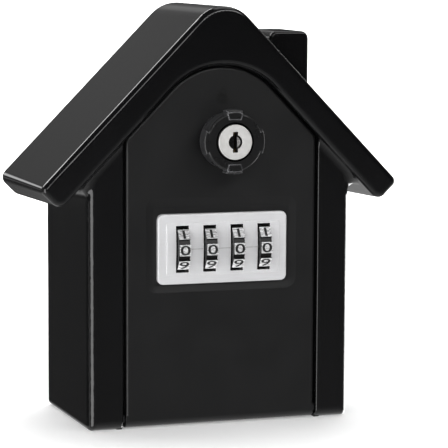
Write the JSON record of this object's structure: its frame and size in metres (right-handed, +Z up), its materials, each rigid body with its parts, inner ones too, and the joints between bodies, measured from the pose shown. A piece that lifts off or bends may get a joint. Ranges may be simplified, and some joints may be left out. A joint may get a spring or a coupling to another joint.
{
  "type": "key lock box",
  "caption": "House-shaped wall key safe with a drop-down door, combination dials, turn knob with key override and an inner key compartment.",
  "frame": {"origin": "middle of the overall box on the plane of its base", "axes": "+Z up, +Y towards the wall behind, +X to the right as seen from the front"},
  "size_m": [0.1366, 0.0694, 0.1531],
  "materials": {
    "shell_gloss": "glossy moulded black",
    "door_satin": "satin moulded black",
    "knob_gloss": "polished black",
    "bush_black": "matt black",
    "dial_silver": "satin silver",
    "wheel_chrome": "bright plated, black filled numbers",
    "cylinder_nickel": "satin nickel",
    "wafer_brass": "plain",
    "plated_steel": "zinc plated",
    "compartment_steel": "grey enamel",
    "screw_steel": "bright",
    "spring_steel": "tempered",
    "black_oxide": "blackened",
    "seal_rubber": "matt",
    "reset_red": "satin"
  },
  "bodies": {
    "housing": {"house_shell": "shell_gloss", "back_plate": "plated_steel", "back_plate_screws": "screw_steel", "key_compartment": "compartment_steel", "keeper_plate": "plated_steel", "keeper_rivets": "screw_steel", "hinge_pins": "black_oxide", "door_seal": "seal_rubber", "hook_rail": "plated_steel", "key_hooks": "screw_steel", "hook_rail_screws": "screw_steel"},
    "door": {"door_panel": "door_satin", "door_back_cover": "plated_steel", "cover_screws": "screw_steel", "dial_plate": "dial_silver", "dial_plate_clips": "screw_steel", "dial_carrier": "plated_steel", "dial_spindle": "screw_steel", "spindle_clips": "screw_steel", "detent_spring": "spring_steel", "detent_screws": "screw_steel", "knob_bush": "bush_black", "bar_guides": "screw_steel"},
    "knob": {"turn_knob": "knob_gloss", "cylinder_housing": "cylinder_nickel", "knob_shaft": "screw_steel", "latch_cam": "plated_steel", "cam_washer": "screw_steel", "cam_nut": "screw_steel", "drive_eccentric": "plated_steel"},
    "key_plug": {"key_plug": "cylinder_nickel", "plug_wafers": "wafer_brass", "keyway_shutter": "cylinder_nickel"},
    "locking_bar": {"locking_bar": "plated_steel"},
    "reset_lever": {"reset_lever": "reset_red"},
    "dial_1": {"dial_wheel_1": "wheel_chrome", "code_sleeve_1": "wafer_brass"},
    "dial_2": {"dial_wheel_2": "wheel_chrome", "code_sleeve_2": "wafer_brass"},
    "dial_3": {"dial_wheel_3": "wheel_chrome", "code_sleeve_3": "wafer_brass"},
    "dial_4": {"dial_wheel_4": "wheel_chrome", "code_sleeve_4": "wafer_brass"}
  },
  "joints": [
    {"name": "door_swing", "type": "hinge", "parent": "housing", "child": "door", "pos_m": [0, -0.01705, 0.0037], "axis": [1, 0, 0], "range_deg": [0, 95]},
    {"name": "knob_turn", "type": "hinge", "parent": "door", "child": "knob", "pos_m": [0, 0, 0.1043], "axis": [0, 1, 0], "range_deg": [0, 90]},
    {"name": "key_turn", "type": "hinge", "parent": "knob", "child": "key_plug", "pos_m": [0, 0, 0.1043], "axis": [0, 1, 0], "range_deg": [0, 90]},
    {"name": "bar_lift", "type": "slide", "parent": "door", "child": "locking_bar", "axis": [0, 0, 1], "range_m": [0, 0.00285]},
    {"name": "reset_slide", "type": "slide", "parent": "door", "child": "reset_lever", "axis": [1, 0, 0], "range_m": [0, 0.006]},
    {"name": "dial_1_turn", "type": "hinge", "parent": "door", "child": "dial_1", "pos_m": [0, -0.01615, 0.06515], "axis": [1, 0, 0], "continuous": true},
    {"name": "dial_2_turn", "type": "hinge", "parent": "door", "child": "dial_2", "pos_m": [0, -0.01615, 0.06515], "axis": [1, 0, 0], "continuous": true},
    {"name": "dial_3_turn", "type": "hinge", "parent": "door", "child": "dial_3", "pos_m": [0, -0.01615, 0.06515], "axis": [1, 0, 0], "continuous": true},
    {"name": "dial_4_turn", "type": "hinge", "parent": "door", "child": "dial_4", "pos_m": [0, -0.01615, 0.06515], "axis": [1, 0, 0], "continuous": true}
  ],
  "couplings": [
    {"joint": "bar_lift", "follows": "knob_turn", "m_per_rad": 0.0018006}
  ]
}
